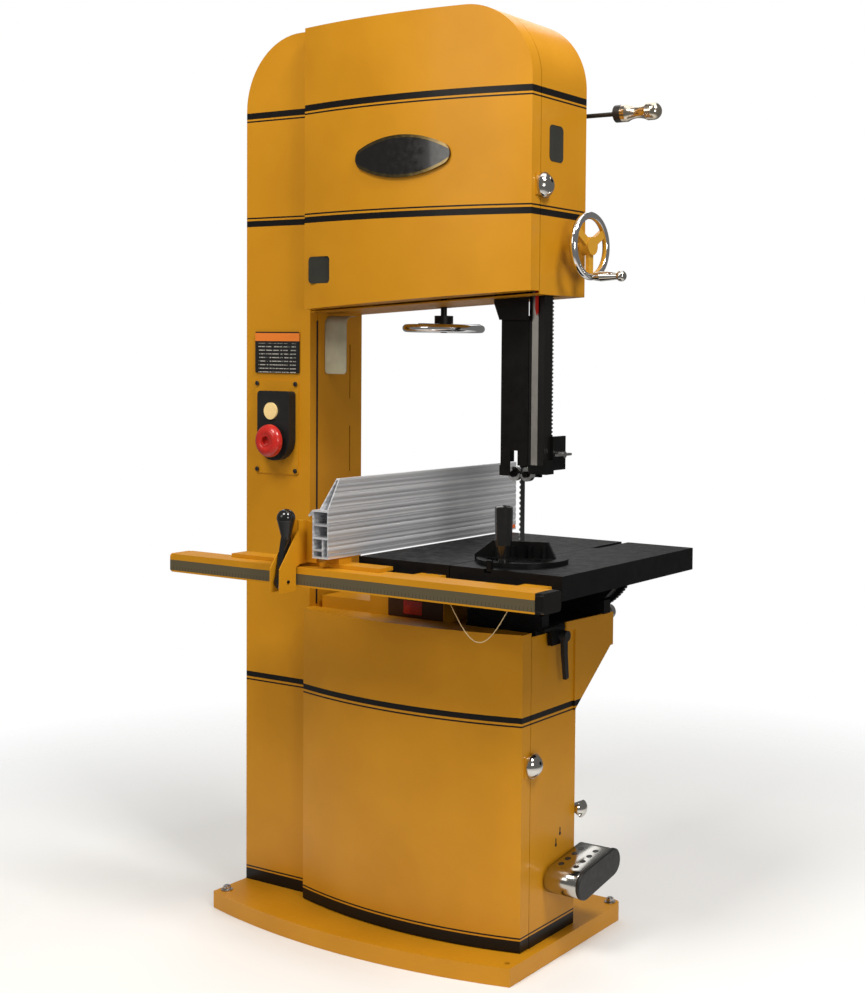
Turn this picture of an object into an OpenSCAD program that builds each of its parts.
/* [Frame] */
// Width of the base plate
base_w = 950; // [944:2:956]
// Depth of the base plate at its ends
base_d = 514; // [510:2:520]
// Thickness of the base plate
base_t = 44; // [40:1:46]
// How far the front edge bulges forward
base_bow = 60; // [50:2:66]
// Distance of each floor hole from the plate edges
anchor_inset = 24; // [20:1:30]
// Height of the frame above the floor
frame_h = 2288; // [2284:1:2292]
// Width of the column
column_w = 223; // [221:1:226]
// Depth of the column and both housings
frame_d = 198; // [196:1:200]
// Sheet thickness of the frame
wall = 3; // [2.5:0.5:4]
// Radius of the top right corner
corner_r = 175; // [165:5:180]
// Radius of the top left corner
column_r = 190; // [180:5:200]

/* [Wheels and blade] */
// Diameter of the wheels over their tyres
wheel_d = 609.4; // [608.4:0.1:609.4]
// Width of a wheel rim
wheel_w = 32; // [28:1:34]
// Height of the upper wheel centre
upper_z = 1950; // [1945:1:1955]
// Height of the lower wheel centre
lower_z = 470; // [466:1:474]
// Width of the blade
blade_w = 23; // [16:1:23]
// Thickness of the blade
blade_t = 0.9; // [0.6:0.1:0.9]
// Distance from one tooth to the next
tooth_pitch = 13; // [10:1:20]

/* [Doors] */
// Bulge of the upper door
upper_bow = 35; // [30:1:40]
// Bulge of the lower door
lower_bow = 46; // [40:1:50]
// Sheet thickness of the doors
door_t = 2.5; // [2:0.5:3]
// Radius of a latch knob
latch_r = 30; // [26:1:32]

/* [Table] */
// Size of the table from left to right
table_w = 575; // [560:5:580]
// Size of the table from front to back
table_d = 610; // [600:5:610]
// Height of the table top
table_z = 985; // [983:1:987]
// Depth of the table rim
table_t = 55; // [50:1:58]
// Thickness of the table plate
plate_t = 14; // [13:1:16]
// Radius of the tilting trunnions
trunnion_r = 172; // [168:1:172]

/* [Fence and mitre gauge] */
// Length of the front rail
rail_l = 1098; // [1080:2:1110]
// Length of the fence
fence_l = 762; // [740:2:770]
// Height of the fence
fence_h = 186; // [180:1:190]
// Radius of the mitre gauge disc
disc_r = 108; // [100:1:112]

/* [Guides and controls] */
// Width of the guide post
post_w = 44; // [40:1:44]
// Radius of the side guide bearings
bearing_r = 17.5; // [16:0.5:18]
// Height of the side guide bearings
guide_z = 1177; // [1174:1:1180]
// Radius of the elevation handwheel
hand_r = 82; // [76:1:86]
// Radius of the tension handwheel
tension_r = 106; // [96:1:110]
// Radius of the stop button
stop_r = 43; // [38:1:44]
// Length of the brake pedal from front to back
pedal_l = 190; // [180:2:200]

/* [Hidden] */
$fn = 64;

// the blade runs down at blade_x, inside a frame that spans col_x to side_x
blade_x = 350;
run_r = 305;
wheel_x = blade_x - run_r;
wheel_y = -44;
blade_y = wheel_y - 11;
col_x = -base_w / 2 + 2;
in_x = col_x + column_w;
side_x = 458;
low_x = 446;
back_y = 62;
front_y = back_y - frame_d;
seam_y = front_y - 2;
edge_y = seam_y - 36;
door_x = in_x + 11;
throat_z = [798, 1570];
floor_end = 1611;
door_z = [1577, 1619];
pin_x = door_x + 7;
pin_y = seam_y - 13;
gold = [0.78, 0.55, 0.16];
ink = [0.09, 0.09, 0.09];
steel = [0.72, 0.72, 0.72];
chrome = [0.85, 0.85, 0.87];

// a box given by its limits along each axis
module block(x, y, z) translate([x[0], y[0], z[0]])
  cube([x[1] - x[0], y[1] - y[0], z[1] - z[0]]);
module xrod(r, x, y, z) translate([x[0], y, z]) rotate([0, 90, 0])
  cylinder(r = r, h = x[1] - x[0]);
module yrod(r, x, y, z) translate([x, y[0], z]) rotate([-90, 0, 0])
  cylinder(r = r, h = y[1] - y[0]);
module zrod(r, x, y, z) translate([x, y, z[0]]) cylinder(r = r, h = z[1] - z[0]);
// a flat outline in X and Z, pushed through from y[0] to y[1]
module slab(y) translate([0, y[1], 0]) rotate([90, 0, 0])
  linear_extrude(y[1] - y[0]) children();
// a flat outline in Y and Z, pushed through from x[0] to x[1]
module plate(x) translate([x[0], 0, 0]) rotate([90, 0, 90])
  linear_extrude(x[1] - x[0]) children();
// a ring around the Y axis, with a round section
module yring(r, wire) rotate([90, 0, 0]) rotate_extrude($fn = 96)
  translate([r, 0]) circle(wire, $fn = 24);

// ---- frame ----
module base_plate() color(gold) difference() {
  r = (base_w * base_w / 4 + base_bow * base_bow) / (2 * base_bow);
  intersection() {
    block([-base_w / 2, base_w / 2], [-base_d / 2 - base_bow - 1, base_d / 2], [0, base_t]);
    zrod(r, 0, r - base_d / 2 - base_bow, [-1, base_t + 1], $fn = 360);
    union() {
      block([-base_w / 2, base_w / 2 - 26], [-400, base_d / 2], [-1, base_t + 1]);
      block([base_w / 2 - 27, base_w / 2], [-400, base_d / 2 - 26], [-1, base_t + 1]);
      zrod(26, base_w / 2 - 26, base_d / 2 - 26, [-1, base_t + 1]);
    }
  }
  for (x = [-1, 1], y = [-1, 1])
    zrod(6.5, x * (base_w / 2 - anchor_inset), y * (base_d / 2 - anchor_inset),
      [-1, base_t + 1]);
}

// outline of the column, drawn in by i on every side
module column_outline(i) {
  translate([col_x + i, base_t + i])
    square([column_w - 2 * i, frame_h - column_r - base_t - i]);
  intersection() {
    translate([col_x + column_r, frame_h - column_r]) circle(column_r - i, $fn = 128);
    translate([col_x, frame_h - column_r - 1]) square([column_r + 1, column_r + 2]);
  }
  translate([col_x + column_r, frame_h - column_r - 1])
    square([column_w - column_r - i, column_r + 1 - i]);
}
module column() color(gold) difference() {
  union() {
    slab([front_y - 4, back_y]) column_outline(0);
    slab([front_y - 7, front_y - 4]) translate([-439, 1147]) rounded(152, 246, 8);
  }
  slab([front_y - 4 + wall, back_y - wall]) column_outline(wall);
  for (z = [[base_t + 3, throat_z[0] - 3], [throat_z[1] + 30, frame_h - wall]])
    block([in_x - wall - 1, in_x + 1], [front_y + 26, back_y - wall], z);
  block([in_x - 1.5, in_x + 1], [-114, -112], [throat_z[0] + 4, throat_z[1] - 4]);
  for (z = [[1150, 1272], [1345, 1490]])
    block([in_x - wall - 1, in_x + 1], [13, 17], z);
}

// outline shared by the upper housing and its door
module head_outline(x0, z0, z1, i) {
  polygon([[x0 + i, z0 + i], [side_x - i, z1 + i], [side_x - i, frame_h - corner_r],
    [side_x - corner_r, frame_h - i], [x0 + i, frame_h - i]]);
  translate([side_x - corner_r, frame_h - corner_r]) circle(corner_r - i, $fn = 128);
}
module upper_housing() color(gold) {
  difference() {
    slab([front_y, back_y]) head_outline(in_x, throat_z[1], floor_end, 0);
    difference() {
      slab([front_y - 1, back_y - wall]) head_outline(in_x - wall, throat_z[1], floor_end, wall);
      xrod(20, [443, 460], elev_y, elev_z);
    }
    block([in_x - 1, in_x + wall + 1], [front_y + 26, back_y - wall],
      [throat_z[1] + 30, frame_h - wall]);
    block([292, 448], [-96, -20], [1560, 1618]);
    zrod(22, wheel_x, screw_y, [1540, 1620]);
    xrod(8.05, [440, 461], elev_y, elev_z);
    yrod(6.05, wheel_x, [50, 70], cam_z);
    side_pane(457 - wall, 459, 0);
  }
  for (s = [-1, 1])
    block([wheel_x + s * 70 - 10, wheel_x + s * 70 + 10], [18, back_y - wall], [1620, 2160]);
}
module side_pane(x0, x1, i) plate([x0, x1])
  translate([-101 + i, 1926 + i]) rounded(59 - 2 * i, 86 - 2 * i, 12);
// a rectangle with round corners, from the origin
module rounded(w, h, r) {
  translate([r, 0]) square([w - 2 * r, h]);
  translate([0, r]) square([w, h - 2 * r]);
  for (x = [r, w - r], y = [r, h - r]) translate([x, y]) circle(r, $fn = 32);
}
module side_window() color(ink) side_pane(side_x - wall, side_x + 1, 0.2);

// raised cover on the roof of the lower housing
riser_x = [-70, 168];
riser_y = [-112, 58];
riser_z = 862;
module lower_housing() color(gold) {
  difference() {
    block([in_x, low_x], [front_y, back_y], [base_t, throat_z[0]]);
    difference() {
      block([in_x - 1, low_x - wall], [front_y - 1, back_y - wall],
        [base_t + 3, throat_z[0] - wall]);
      yrod(46, wheel_x, [50, 63], lower_z);
    }
    block([330, 372], [-72, -10], [790, 800]);
    block(riser_x + [wall, -wall], riser_y + [wall, -wall], [throat_z[0] - wall - 1, throat_z[0] + 1]);
    yrod(30, wheel_x, [45, 63], lower_z);
    yrod(24, motor_x, [50, 63], motor_z);
    xrod(8.05, [440, 450], pivot_y, pivot_z);
    for (p = ports) yrod(47, p[0], [50, 63], p[1]);
  }
  plate([low_x, low_x + 5]) polygon([[50, 586], [220, 723], [232, 723], [232, 808], [8, 814],
    [8, 790], [50, 790]]);
  block([400, 412], [back_y, 92], [320, 344]);
  difference() {
    block(riser_x, riser_y, [throat_z[0], riser_z]);
    block(riser_x + [wall, -wall], riser_y + [wall, -wall], [throat_z[0] - 1, riser_z - wall]);
  }
  block([in_x + 14, riser_x[0]], [-106, -20], [throat_z[0], riser_z - 30]);
  zrod(26, 10, -78, [riser_z, riser_z + 18]);
}
module trunnion_base() color(ink) {
  difference() {
    union() {
      block([240, low_x], [-120, 203], [throat_z[0], 811]);
      for (y = [-115, 170]) block([240, low_x + 14], [y, y + 30], [811, 846]);
      block([low_x - 8, low_x + 22], [-114, -60], [808, 816]);
      block([396, 438], [190, 205.5], [786, 818]);
    }
    yrod(trunnion_r + 0.35, blade_x, [-130, 210], table_z, $fn = 180);
    block([325, 378], [-76, -6], [790, 860]);
    yrod(6.05, pinion_x, [189, 207], pinion_z);
  }
  block([low_x + 6, low_x + 20], [-78, -22], [770, 812]);
}
// hex bolts with washers in two of the floor holes, and four switch plate screws
module frame_fasteners() color(steel) {
  for (s = [-1, 1]) translate([s * (base_w / 2 - anchor_inset),
      s * (base_d / 2 - anchor_inset), 0]) {
    cylinder(r = 6, h = base_t + 14);
    translate([0, 0, base_t]) cylinder(r = 15, h = 3);
    translate([0, 0, base_t + 3]) cylinder(r = 10.5, h = 8, $fn = 6);
  }
  for (x = [-430, -296], z = [1157, 1384]) yrod(3.5, x, [front_y - 9, front_y - 7], z);
}
module switch_box() color(ink) difference() {
  union() {
    slab([front_y - 31, front_y - 7]) box_outline(0);
    yrod(24, -349, [front_y - 37, front_y - 31], 1236);
  }
  yrod(22.05, -359, [front_y - 40, front_y - 12], 1313);
  yrod(15.05, -349, [front_y - 41, front_y - 12], 1236);
}
module box_outline(i) {
  translate([-409, 1241]) rounded(112, 124, 10);
  translate([-409, 1240]) square([112, 60]);
  translate([-353, 1240]) circle(56);
}
// thin strap that curls down from the housing floor
module throat_flap() color([0.5, 0.48, 0.4]) {
  block([-246, -174], [-88, -86], [1420, 1541.5]);
  slab([-88, -86]) translate([-246, 1412]) rounded(72, 24, 10);
  translate([-246, -66, 1541]) rotate([90, 0, 90]) rotate([0, 0, 90])
    rotate_extrude(angle = 90) translate([20, 0]) square([2, 72]);
  block([in_x, -174], [-66.5, -50], [1561, 1563]);
}
module door_hinges() color(steel) for (z = concat(low_knuckles, high_knuckles)) {
  zrod(4, pin_x, pin_y, [z - 9, z + 39]);
  for (p = [[z - 6, z - 2], [z + 32, z + 36]]) {
    block([in_x, pin_x + 7], [front_y + 1, front_y + 24], p);
    block([pin_x - 4, pin_x + 7], [pin_y - 8, front_y + 2], p);
  }
}
low_knuckles = [180, 680];
high_knuckles = [1690, 2180];
ports = [[330, 140], [230, 690]];
module dust_ports() color(ink) for (p = ports) difference() {
  union() {
    yrod(50, p[0], [back_y, back_y + 60], p[1]);
    yrod(62, p[0], [back_y, back_y + 4], p[1]);
  }
  yrod(47, p[0], [back_y - 1, back_y + 61], p[1]);
}

// ---- drive ----
motor_x = -120;
motor_z = 300;
big_r = 140;
small_r = 42;
module motor() color(ink) {
  difference() {
    union() {
      yrod(88, motor_x, [back_y + 10, back_y + 230], motor_z);
      yrod(94, motor_x, [back_y + 230, back_y + 290], motor_z);
      block([motor_x - 105, motor_x + 105], [back_y, back_y + 10],
        [motor_z - 105, motor_z + 105]);
      for (a = [0:15:345]) translate([motor_x, 0, motor_z]) rotate([0, a, 0])
        block([86, 96], [back_y + 30, back_y + 210], [-1.5, 1.5]);
    }
    yrod(12.05, motor_x, [back_y - 1, back_y + 200], motor_z);
  }
  block([motor_x + 60, motor_x + 122], [back_y + 80, back_y + 170],
    [motor_z + 40, motor_z + 110]);
  zrod(11, motor_x + 100, back_y + 125, [motor_z + 26, motor_z + 40]);
}
module motor_pulley() color(steel) {
  yrod(12, motor_x, [-16, back_y + 190], motor_z);
  grooved(small_r, motor_x, motor_z);
}
// a flat pulley with belt grooves
module grooved(r, x, z) difference() {
  yrod(r, x, [-14, 12], z);
  for (y = [-9, -3, 3]) difference() {
    yrod(r + 1, x, [y, y + 3], z);
    yrod(r - 3, x, [y - 1, y + 4], z);
  }
}
module belt_body(i, y) {
  d = [motor_x - wheel_x, motor_z - lower_z];
  a = atan2(d[1], d[0]);
  lean = acos((big_r - small_r) / norm(d));
  tips = [for (s = [-1, 1]) [cos(a + s * lean), sin(a + s * lean)]];
  yrod(big_r + i, wheel_x, y, lower_z, $fn = 96);
  yrod(small_r + i, motor_x, y, motor_z);
  slab(y) translate([wheel_x, lower_z]) polygon([(big_r + i - 0.05) * tips[0],
    (big_r + i - 0.05) * tips[1], d + (small_r + i - 0.05) * tips[1],
    d + (small_r + i - 0.05) * tips[0]]);
}
module drive_belt() color(ink) difference() {
  belt_body(4.5, [-12, 10]);
  belt_body(0.5, [-13, 11]);
}
module shaft_housing() color(ink) difference() {
  union() {
    yrod(29, wheel_x, [18, back_y + 20], lower_z);
    yrod(60, wheel_x, [back_y, back_y + 8], lower_z);
  }
  yrod(15.05, wheel_x, [17, back_y + 21], lower_z);
}
module lower_shaft() color(steel) {
  yrod(15, wheel_x, [wheel_y - 30, back_y + 24], lower_z);
  grooved(big_r, wheel_x, lower_z);
  yrod(24, wheel_x, [wheel_y - 38, wheel_y - 26], lower_z);
}
// spoked wheel around the Y axis; bore is the radius of its centre hole
module spoked(z, bore) translate([wheel_x, wheel_y, z]) {
  rim = wheel_d / 2 - 4;
  difference() {
    union() {
      difference() {
        yrod(rim, 0, [-wheel_w / 2, wheel_w / 2], 0, $fn = 180);
        yrod(rim - 22, 0, [-wheel_w / 2 - 1, wheel_w / 2 + 1], 0, $fn = 180);
      }
      yrod(46, 0, [-24, 24], 0);
      for (a = [0:60:300]) rotate([0, a, 0]) block([30, rim - 12], [-7, 7], [-17, 17]);
    }
    yrod(bore, 0, [-25, 25], 0);
  }
}
module upper_wheel() color([0.35, 0.35, 0.36]) spoked(upper_z, 15.05);
module lower_wheel() color([0.35, 0.35, 0.36]) spoked(lower_z, 15);
module tyre(z) color(ink) difference() {
  yrod(wheel_d / 2, wheel_x, [wheel_y - wheel_w / 2, wheel_y + wheel_w / 2], z, $fn = 180);
  yrod(wheel_d / 2 - 4, wheel_x, [wheel_y - 20, wheel_y + 20], z, $fn = 180);
}
module upper_tyre() tyre(upper_z);
module lower_tyre() tyre(lower_z);
module saw_blade() color(steel) difference() {
  y = [blade_y, blade_y + blade_w];
  union() {
    for (s = [[upper_z, 0], [lower_z, 180]])
      translate([wheel_x, y[1], s[0]]) rotate([90, 0, 0]) rotate([0, 0, s[1]])
        rotate_extrude(angle = 180, $fn = 180)
          translate([run_r, 0]) square([blade_t, blade_w]);
    for (x = [wheel_x + run_r, wheel_x - run_r - blade_t])
      block([x, x + blade_t], y, [lower_z, upper_z]);
  }
  for (z = [810:tooth_pitch:1620]) translate([0, 0, z]) plate([blade_x - 1, blade_x + 2])
    polygon([[blade_y - 1, -1], [blade_y + 5, 1], [blade_y + 6, 4], [blade_y - 1, 9]]);
}

// ---- blade tension ----
screw_y = 38;
cam_z = 2057;
lever_y = 86;
module release_yoke() color(steel) {
  difference() {
    block([wheel_x - 59.9, wheel_x + 59.9], [22, 54], [1630, 2112]);
    block([wheel_x - 46, wheel_x + 46], [21, 55], [1668, 2070.3]);
    zrod(8.05, wheel_x, screw_y, [1620, 1680]);
  }
}
module tension_slide() color([0.35, 0.35, 0.36]) {
  difference() {
    block([wheel_x - 45.9, wheel_x + 45.9], [18, 54], [1880, 2020]);
    zrod(8.05, wheel_x, screw_y, [1870, 2030]);
  }
  yrod(28, wheel_x, [-12, 18], upper_z);
  yrod(15, wheel_x, [wheel_y - 34, -12], upper_z);
  yrod(22, wheel_x, [wheel_y - 40, wheel_y - 28], upper_z);
}
module tension_wheel() color(chrome) translate([wheel_x, screw_y, 0]) {
  zrod(8, 0, 0, [1522, 1850]);
  zrod(8, 0, 0, [1850, 1998]);
  for (z = [1617, 1670]) zrod(15, 0, 0, [z, z + 10]);
  zrod(24, 0, 0, [1542, 1566]);
  translate([0, 0, 1533]) rotate([90, 0, 0]) yring(tension_r - 10, 10);
  for (a = [30:120:270]) rotate([0, 0, a]) block([6, tension_r - 12], [-9, 9], [1530, 1545]);
}
module release_lever() color(chrome) {
  yrod(6, wheel_x, [26, lever_y], cam_z);
  yrod(10, wheel_x - 2.83, [30, 50], cam_z + 2.83);
  yrod(19, wheel_x, [back_y + 3, lever_y + 14], cam_z);
  xrod(5.5, [wheel_x + 10, 640], lever_y, cam_z);
  translate([529, lever_y, cam_z]) rotate([0, 90, 0]) handle_shape(124, 21, 14);
}
// turned handle along Z: a round end, a waist and a collar
module handle_shape(l, big, waist) rotate_extrude() {
  difference() {
    square([big, l - big]);
    translate([waist + 62, l * 0.48]) circle(62, $fn = 96);
  }
  intersection() {
    translate([0, l - big]) circle(big, $fn = 48);
    translate([0, l - big - 1]) square([big, big + 1]);
  }
}

// ---- doors ----
// hollow cover: its outline in child 0, the same drawn in by the sheet in child 1
module cover(x1, bow) {
  half = (x1 - door_x) / 2;
  r = (half * half + bow * bow) / (2 * bow);
  difference() {
    intersection() {
      slab([edge_y - bow - 1, seam_y]) children(0);
      zrod(r, door_x + half, edge_y - bow + r, [0, 2300], $fn = 360);
    }
    intersection() {
      slab([edge_y - bow - 1, seam_y + 1]) children(1);
      zrod(r - door_t, door_x + half, edge_y - bow + r, [0, 2300], $fn = 360);
    }
    children(2);
  }
}
module hinge_cuts(zs) for (z = zs)
  block([door_x - 1, door_x + 4], [pin_y - 13, seam_y + 1], [z - 8, z + 38]);
module knuckles(zs) for (z = zs) difference() {
  union() {
    zrod(7, pin_x, pin_y, [z, z + 30]);
    block([pin_x - 5, pin_x + 4], [edge_y, pin_y], [z, z + 30]);
  }
  zrod(4.05, pin_x, pin_y, [z - 1, z + 31]);
}
// tab for the latch, which reaches back over the frame
module latch_tab(x, y, z) difference() {
  union() {
    block([x + 0.5, x + 3.5], [y - 30, y + 26], [z - 24, z + 24]);
    block([x - 1, x + 3.5], [y - 30, seam_y - 2], [z - 24, z + 24]);
  }
  xrod(5.05, [x - 2, x + 4], y, z);
}
module upper_door() color(gold) {
  cover(side_x, upper_bow) {
    head_outline(door_x, door_z[0], door_z[1], 0);
    head_outline(door_x, door_z[0], door_z[1], door_t);
    union() {
      hinge_cuts(high_knuckles);
      slab([-230, -170]) translate([-217, 1642]) rounded(76, 68, 10);
    }
  }
  knuckles(high_knuckles);
  latch_tab(side_x, -128, 1866);
}
module lower_door() color(gold) {
  cover(low_x, lower_bow) {
    translate([door_x, base_t + 3]) square([low_x - door_x, 761]);
    translate([door_x + door_t, base_t + 3 + door_t])
      square([low_x - door_x - 2 * door_t, 761 - 2 * door_t]);
    hinge_cuts(low_knuckles);
  }
  knuckles(low_knuckles);
  latch_tab(low_x, -133, 489);
}
module door_window() color(ink) slab([-184, -173]) translate([-216.7, 1642.3])
  rounded(75.4, 67.4, 10);
// blank oval plate
module door_badge() color(ink) intersection() {
  slab([-222, -200]) translate([102, 1943]) {
    for (s = [-1, 1]) translate([s * 119, 0]) circle(26);
    intersection() {
      translate([0, 264.9]) circle(316.4, $fn = 360);
      translate([0, -264.9]) circle(316.4, $fn = 360);
      square([259.4, 110], center = true);
    }
  }
  difference() {
    zrod(1759, 109.5, edge_y - upper_bow + 1752.5, [1880, 2010], $fn = 360);
    zrod(1752.8, 109.5, edge_y - upper_bow + 1752.5, [1880, 2010], $fn = 360);
  }
}
// domed latch knob on its stud, turning about X
module latch(x, y, z) color(chrome) translate([x, y, z]) rotate([0, 90, 0]) difference() {
  union() {
    translate([0, 0, 0.2]) cylinder(r = 5, h = 7);
    translate([0, 0, 3.8]) rotate_extrude() {
      square([latch_r, 5]);
      intersection() {
        square([latch_r, 30]);
        translate([0, -8]) circle(32, $fn = 96);
      }
    }
  }
  translate([-9, 0, 12]) cylinder(r = 4, h = 30);
}
module upper_latch() latch(side_x, -128, 1866);
module lower_latch() latch(low_x, -133, 489);

// ---- blade guides ----
post_x = [392, 392 + post_w];
post_y = [-80, -46];
elev_y = -4;
elev_z = 1731;
rack_pitch = 9.42;
module guide_post() color([0.2, 0.2, 0.21]) difference() {
  union() {
    block(post_x, post_y, [1203, 1903]);
    block([412, post_x[1]], [post_y[1], -40], [1240, 1903]);
  }
  for (z = [1250:rack_pitch:1898]) translate([0, 0, z]) plate([411, 450])
    polygon([[-39, -3.6], [-45, -1.6], [-45, 1.6], [-39, 3.6]]);
}
// folded sheet around the front and left of the blade
module blade_guard() color(ink) {
  difference() {
    slab([-82, -80]) polygon([[312, 1199], [309, 1199], [309, 1174], [340, 1174],
      [340, 1236], [362, 1236], [362, 1200], [391.5, 1200], [391.5, 1562], [312, 1562]]);
  }
  block([312, 314], [-80, -26], [1205, 1562]);
  block([389.5, 391.5], [-80, -50], [1205, 1562]);
}
module post_bracket() color(ink) {
  difference() {
    union() {
      block([384, 446], [-90, -30], [1622, 1700]);
      block([384, 410], [-40, back_y - wall], [1622, 1700]);
    }
    block([post_x[0] - 0.1, post_x[1] + 0.1], [post_y[0] - 0.1, post_y[1] + 0.1],
      [1600, 1710]);
    block([411.5, post_x[1] + 0.1], [post_y[1] - 1, -39.5], [1600, 1710]);
    block([380, 393], [-84, -48], [1600, 1710]);
  }
  slab([-92, -90]) polygon([[296, 1640], [296, 1592], [312, 1552], [397, 1552], [397, 1640]]);
  block([384, 388], [-92, -88], [1622, 1640]);
  slab([-86, -83]) polygon([[412, 1640], [412, 1580], [415, 1563], [420, 1570], [420, 1640]]);
  block([412, 420], [-91, -83], [1624, 1640]);
}
side_x0 = blade_x - 0.4 - bearing_r;
side_x1 = blade_x + blade_t + 0.4 + bearing_r;
thrust_y = blade_y + blade_w + 0.4 + 12;
thrust_z = guide_z + 14;
module guide_bracket() color(ink) {
  block([392, 444], [-80, -46], [guide_z + 4, 1203]);
  difference() {
    block([430, 444], [-80, 6], [guide_z + 13, 1272]);
    block([429, 437], [-81, -30], [1203, 1280]);
    block([429, 437], [-31, 7], [guide_z + 26.4, 1280]);
    block([436, 445], [-81, -50], [1215, 1280]);
    xrod(4.05, [429, 446], -24, 1228);
  }
  block([318, 431], [-6, 6], [guide_z + 13, 1203]);
  for (x = [side_x0, side_x1]) {
    block([x - 9, x + 9], [-6, 4], [guide_z - 10, 1203]);
    yrod(5, x, [-58, -6], guide_z);
    yrod(8, x, [-60, -56], guide_z);
    yrod(8, x, [-37, -20], guide_z);
  }
  for (x = [[341.5, 344], [357, 359.5]]) block(x, [-27, -6], [guide_z + 4, 1203]);
  xrod(4, [342, 359], thrust_y, thrust_z);
}
module roller(r, bore) difference() {
  cylinder(r = r, h = 14);
  translate([0, 0, -1]) cylinder(r = bore, h = 16);
}
module left_bearing() color(chrome) translate([side_x0, -54, guide_z]) rotate([-90, 0, 0])
  roller(bearing_r, 5.05);
module right_bearing() color(chrome) translate([side_x1, -54, guide_z]) rotate([-90, 0, 0])
  roller(bearing_r, 5.05);
module thrust_bearing() color(chrome) difference() {
  xrod(12, [345, 356], thrust_y, thrust_z);
  xrod(4.05, [344, 357], thrust_y, thrust_z);
}
module guide_knob() color(chrome) {
  xrod(4, [437, 452], -24, 1228);
  xrod(8, [445, 462], -24, 1228);
  for (s = [-1, 1]) block([452, 462], [-24 + s * 18 - 12, -24 + s * 18 + 12], [1225, 1231]);
}
module elevation_wheel() color(chrome) translate([0, elev_y, elev_z]) {
  xrod(8, [404, 512], 0, 0);
  difference() {
    xrod(35.5, [413, 435], 0, 0);
    for (a = [0:15:345]) rotate([a, 0, 0]) block([412, 436], [-2.4, 2.4], [29.5, 37]);
  }
  xrod(22, [496, 522], 0, 0);
  translate([514, 0, 0]) rotate([0, 0, 90]) yring(hand_r - 9, 9);
  for (a = [0:120:240]) rotate([a + 180, 0, 0])
    block([507, 517], [-10, 10], [12, hand_r - 10]);
  xrod(4, [514, 545], 0, 9 - hand_r);
}
module crank_grip() color(chrome) translate([523.5, elev_y, elev_z + 9 - hand_r])
  rotate([0, 90, 0]) difference() {
    union() {
      cylinder(r = 9, h = 30);
      translate([0, 0, 2]) rotate_extrude() polygon([[0, 0], [9, 0], [12, 20], [8, 70], [0, 70]]);
      translate([0, 0, 78]) sphere(r = 13, $fn = 48);
    }
    translate([0, 0, -1]) cylinder(r = 4.05, h = 24);
  }
module lower_guide() color(ink) {
  block([330, 372], [-6, 6], [811, 880]);
  block([326, 376], [-30, 6], [870, 890]);
  for (x = [[332, 349.4], [351.5, 369]]) block(x, [-58, -28], [872, 890]);
}

// ---- table ----
table_x = [82, 82 + table_w];
table_y = [-334, -334 + table_d];
slot_x = [447, 467];
module table() color(ink) difference() {
  union() {
    block(table_x, table_y, [table_z - plate_t, table_z]);
    difference() {
      block(table_x, table_y, [table_z - table_t, table_z]);
      block([table_x[0] + 12, table_x[1] - 12], [table_y[0] + 12, table_y[1] - 12],
        [table_z - table_t - 1, table_z - 1]);
    }
    for (y = [-115, 170]) block([200, 500], [y, y + 30], [table_z - 40, table_z - 1]);
  }
  block(slot_x, [table_y[0] - 1, table_y[1] + 1], [table_z - 9.5, table_z + 1]);
  block([blade_x - 1.2, blade_x + 1.8], [table_y[0] - 1, wheel_y],
    [table_z - table_t - 1, table_z + 1]);
  zrod(34.05, blade_x, wheel_y, [table_z - 4, table_z + 1]);
  zrod(29, blade_x, wheel_y, [table_z - 50, table_z + 1]);
}
module table_insert() color(steel) difference() {
  zrod(34, blade_x, wheel_y, [table_z - 4, table_z]);
  block([blade_x - 7, blade_x + 8], [wheel_y - 22, wheel_y + 22], [table_z - 5, table_z + 1]);
}
module table_trunnions() color(ink) difference() {
  union() {
    for (y = [-113, 172]) yrod(trunnion_r, blade_x, [y, y + 26], table_z, $fn = 180);
    difference() {
      yrod(183, blade_x, [207, 222], table_z, $fn = 180);
      for (a = [20:3:160]) translate([blade_x, 0, table_z]) rotate([0, a, 0])
        block([179, 184], [206, 223], [-2, 2]);
    }
    block([250, 450], [197, 207], [870, 930]);
  }
  block([100, 600], [-140, 250], [table_z - 40, 1200]);
  for (y = [[-114, -86], [171, 199]]) yrod(110, blade_x, y, table_z);
  yrod(110, blade_x, [196, 224], table_z);
}
// small knob and pinion that turn the toothed arc
pinion_x = blade_x + 196 * cos(70);
pinion_z = table_z - 196 * sin(70);
module tilt_pinion() color(chrome) {
  difference() {
    yrod(12.3, pinion_x, [208, 221], pinion_z);
    for (a = [0:30:330]) translate([pinion_x, 0, pinion_z]) rotate([0, a, 0])
      block([10, 13], [206, 222], [-1.5, 1.5]);
  }
  yrod(6, pinion_x, [192, 252], pinion_z);
  yrod(20, pinion_x, [250, 268], pinion_z);
}
module lock_lever() color(ink) {
  xrod(13, [low_x + 20.4, low_x + 40], -40, 790);
  plate([low_x + 24, low_x + 34]) polygon([[-50, 790], [-30, 790], [-30, 745], [-24, 685],
    [-36, 682], [-46, 745]]);
}

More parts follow.
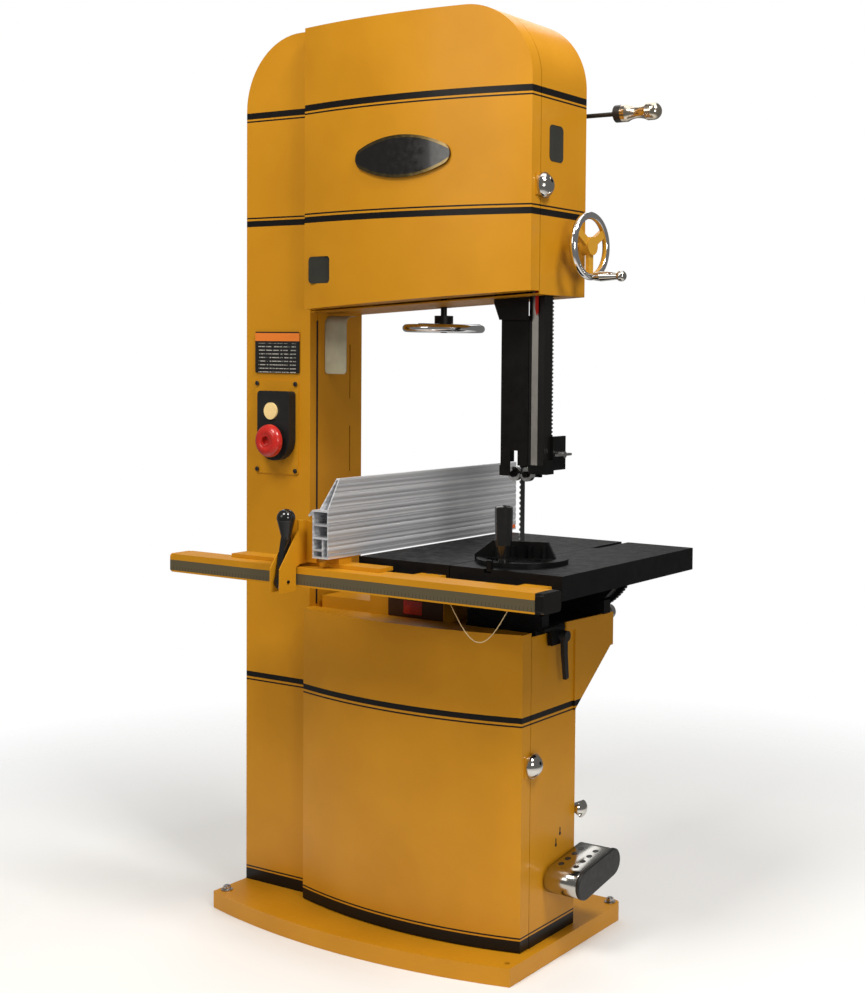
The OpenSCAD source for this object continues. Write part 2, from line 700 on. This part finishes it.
// ---- rail, fence and mitre gauge ----
rail_x = [-426, -426 + rail_l];
rail_y = [-444, -376];
rail_z = [918, 963];
module fence_rail() color(gold) {
  difference() {
    block(rail_x, rail_y, rail_z);
    block([rail_x[0] - 1, rail_x[1] + 1], [rail_y[0] + 3, rail_y[1] - 3],
      [rail_z[0] + 3, rail_z[1] - 3]);
  }
  for (x = [[rail_x[0] - 6, rail_x[0] + 6], [rail_x[1] - 12, rail_x[1] + 10]])
    plate(x) translate([rail_y[0] - 0.5, rail_z[0] - 0.5]) rounded(69, 46, 8);
  for (x = [411, 566]) block([x - 6, x + 6], [-414, -406], [911, rail_z[0]]);
  for (x = [90, 270, 560])
    block([x, x + 70], [rail_y[1], table_y[0]], [rail_z[1] - 12, rail_z[1] - 2]);
}
fence_x = 81.5;
fence_y = [-441, -441 + fence_l];
fence_z = 988;
module fence() color(steel) difference() {
  slab(fence_y) translate([fence_x, fence_z]) difference() {
    polygon([[-49, 0], [0, 0], [0, fence_h], [-10, fence_h], [-28, 113], [-49, 113],
      [-62, 100], [-60, 97], [-49, 101]]);
    for (z = [[49, 76], [80, 109]]) translate([-45, z[0]]) square([41, z[1] - z[0]]);
    translate([-16, 4]) square([12, 41]);
    for (z = [[4, 17], [21, 45]]) translate([-45, z[0]]) square([25, z[1] - z[0]]);
    polygon([[-4, 113], [-4, fence_h - 4], [-8, fence_h - 4], [-24, 113]]);
  }
  for (k = [0:9]) block([fence_x - 1.2, fence_x + 1], [fence_y[0] - 1, fence_y[1] + 1],
    [fence_z + 8 + 18 * k, fence_z + 13 + 18 * k]);
  plate([0, 100]) polygon([[fence_y[0] - 1, fence_z + 113], [fence_y[0] - 1, fence_z + 200],
    [fence_y[0] + 47, fence_z + 200]]);
}
lever_pin = [-474, 932];
module fence_head() color(gold) {
  block([-265, 200], [-402, -352], [rail_z[1] + 0.5, 972]);
  block([36, 78], [-400, -356], [972, fence_z]);
  difference() {
    block([-44, 19], [-412, -404], [972, 1070]);
    block([18, 20], [-413, -403], [1060, 1071]);
  }
  difference() {
    for (x = [[-44, -41], [-15, -12]]) plate(x) polygon([[-404, 972], [-404, 1062],
      [-412, 1072], [-439, 1072], [-439, 1050], [-501, 964], [-502, 908], [-448, 908],
      [-447, 964], [-430, 972]]);
    xrod(4.05, [-50, 0], lever_pin[0], lever_pin[1]);
  }
  block([-44, -12], [-447, -380], [970, 975]);
}
module cam_lever() color(ink) {
  xrod(4, [-46, -10], lever_pin[0], lever_pin[1]);
  xrod(19, [-38, -18], lever_pin[0], lever_pin[1]);
  plate([-36, -20]) polygon([[-492, 935], [-458, 935], [-456, 1040], [-472, 1040]]);
  translate([-28, -464, 1030]) rotate_extrude() {
    polygon([[0, 0], [10, 0], [20.5, 44], [0, 44]]);
    intersection() {
      translate([0, 50]) circle(21.5, $fn = 48);
      square([30, 80]);
    }
  }
}
module pin_tether() color([0.8, 0.75, 0.6]) {
  steps = 24;
  sides = 8;
  way = [for (i = [0:steps]) [411 + 155 * i / steps, -410,
    912 - 78 * sin(180 * i / steps)]];
  tube(way, 1.1, sides);
}
// round tube swept along a way that stays in one XZ plane
module tube(way, r, sides) {
  last = len(way) - 1;
  rings = [for (i = [0:last]) let (d = way[min(i + 1, last)] - way[max(i - 1, 0)],
      t = d / norm(d)) for (k = [0:sides - 1]) let (a = 360 * k / sides)
    way[i] + r * (cos(a) * [-t[2], 0, t[0]] + sin(a) * [0, 1, 0])];
  polyhedron(rings, concat([[for (k = [0:sides - 1]) k]],
    [for (i = [0:last - 1], k = [0:sides - 1]) let (n = (k + 1) % sides)
      [i * sides + k, (i + 1) * sides + k, (i + 1) * sides + n, i * sides + n]],
    [[for (k = [sides - 1:-1:0]) last * sides + k]]));
}
mitre_x = 457;
mitre_y = -193;
mitre_turn = 18;
slot_r = 79;
module mitre_bar() color([0.15, 0.15, 0.15]) {
  block([slot_x[0] + 0.08, slot_x[1] - 0.08], [-322, 128], [table_z - 9.2, table_z - 0.2]);
  block([451, 463], [-330, -321], [table_z - 6, 1004]);
}
// half disc with a curved slot, under a ribbed face with sloping ends
module mitre_head() color(ink) translate([mitre_x, mitre_y, 0]) rotate([0, 0, mitre_turn]) {
  difference() {
    zrod(disc_r, 0, 0, [table_z + 0.3, 996], $fn = 128);
    block([-130, 130], [8, 130], [980, 1000]);
    translate([0, 0, 980]) rotate([0, 0, 204]) rotate_extrude(angle = 126, $fn = 128)
      translate([slot_r - 6, 0]) square([12, 20]);
    for (s = [-1, 1]) zrod(17, s * 38, -38, [980, 1000]);
  }
  slab([-4, 8]) polygon([[-117, table_z + 1], [81, table_z + 1], [81, 992], [60, 1034],
    [-72, 1034], [-117, 1000]]);
  for (x = [-60, -20, 20, 55]) block([x - 3, x + 3], [-16, -3], [996, 1024]);
}
// turned clamping handle standing in the curved slot
module mitre_handle() color(ink) translate([mitre_x, mitre_y - slot_r, 0]) {
  zrod(5.5, 0, 0, [table_z + 0.4, 1010]);
  zrod(13, 0, 0, [996.4, 1003]);
  translate([0, 0, 1003]) rotate_extrude() {
    polygon([[0, 0], [13, 0], [18.5, 30], [20.5, 80], [21, 112], [0, 112]]);
    intersection() {
      translate([0, 72]) circle(50, $fn = 96);
      translate([0, 111]) square([20.6, 12]);
    }
  }
}

// ---- brake ----
pivot_y = 30;
pivot_z = 200;
pedal_x = [low_x + 6, low_x + 107];
module brake_pedal() color(chrome) {
  difference() {
    plate([pedal_x[0], pedal_x[1] - 10]) pedal_outline(0);
    plate([pedal_x[0] - 1, pedal_x[1] - 16]) pedal_outline(2.5);
    for (x = [474, 517], y = [-40, -10, 20, 50]) zrod(6, x, y, [215, 300]);
  }
  plate([pedal_x[1] - 10, pedal_x[1]]) pedal_outline(-1.5);
}
// side view of the tread: two round ends and the flat faces between them
module pedal_outline(i) {
  nose = [-48, 193];
  heel = [-48 + pedal_l - 65, 213];
  translate(nose) circle(35 - i);
  translate(heel) circle(33 - i);
  polygon([nose + [-5, 34.6 - i], nose + [5, i - 34.5], heel + [5, i - 32.5], heel + [-5, 32.5 - i]]);
}
module brake_arm() color([0.3, 0.3, 0.31]) {
  xrod(8, [290, pedal_x[0] + 20], pivot_y, pivot_z);
  block([pedal_x[0] + 0.1, pedal_x[0] + 20], [pivot_y - 40, pivot_y + 40],
    [pivot_z - 8, pivot_z + 8]);
  block([290, 308], [pivot_y - 16, pivot_y + 10], [pivot_z - 6, 350]);
  block([287, 311], [2, pivot_y - 10], [316, 348]);
}
// knob on a short rod behind the lower housing
module rear_knob() color(chrome) translate([0, 79, 332]) {
  xrod(5, [412.3, 440], 0, 0);
  translate([436, 0, 0]) rotate([0, 90, 0]) rotate_extrude() {
    polygon([[0, 0], [12, 0], [22, 22], [0, 22]]);
    intersection() {
      translate([0, 6]) circle(27.2, $fn = 64);
      translate([0, 21.9]) square([22, 12]);
    }
  }
}
module start_button() color([0.95, 0.85, 0.6])
  yrod(22, -359, [front_y - 36, front_y - 20], 1313);
module stop_button() color([0.75, 0.1, 0.08]) translate([-349, front_y - 18, 1236])
  rotate([90, 0, 0]) difference() {
    union() {
      cylinder(r = 15, h = 30);
      translate([0, 0, 28]) rotate_extrude() difference() {
        intersection() {
          square([stop_r, 20]);
          translate([stop_r - 18, 2]) circle(18, $fn = 48);
        }
        square([stop_r - 18, 1]);
      }
      translate([0, 0, 26]) cylinder(r = stop_r - 18, h = 20);
    }
    translate([0, 0, 36]) cylinder(r = 13, h = 20);
  }

base_plate();
column();
upper_housing();
lower_housing();
trunnion_base();
frame_fasteners();
switch_box();
throat_flap();
side_window();
door_hinges();
dust_ports();
motor();
drive_belt();
shaft_housing();
saw_blade();
post_bracket();
lower_guide();
upper_door();
door_badge();
door_window();
upper_latch();
lower_door();
lower_latch();
release_yoke();
tension_slide();
tension_wheel();
release_lever();
upper_wheel();
upper_tyre();
lower_wheel();
lower_tyre();
lower_shaft();
motor_pulley();
guide_post();
blade_guard();
guide_bracket();
guide_knob();
left_bearing();
right_bearing();
thrust_bearing();
elevation_wheel();
crank_grip();
table();
table_insert();
table_trunnions();
fence_rail();
pin_tether();
rear_knob();
tilt_pinion();
lock_lever();
fence();
fence_head();
cam_lever();
mitre_bar();
mitre_head();
mitre_handle();
brake_pedal();
brake_arm();
start_button();
stop_button();
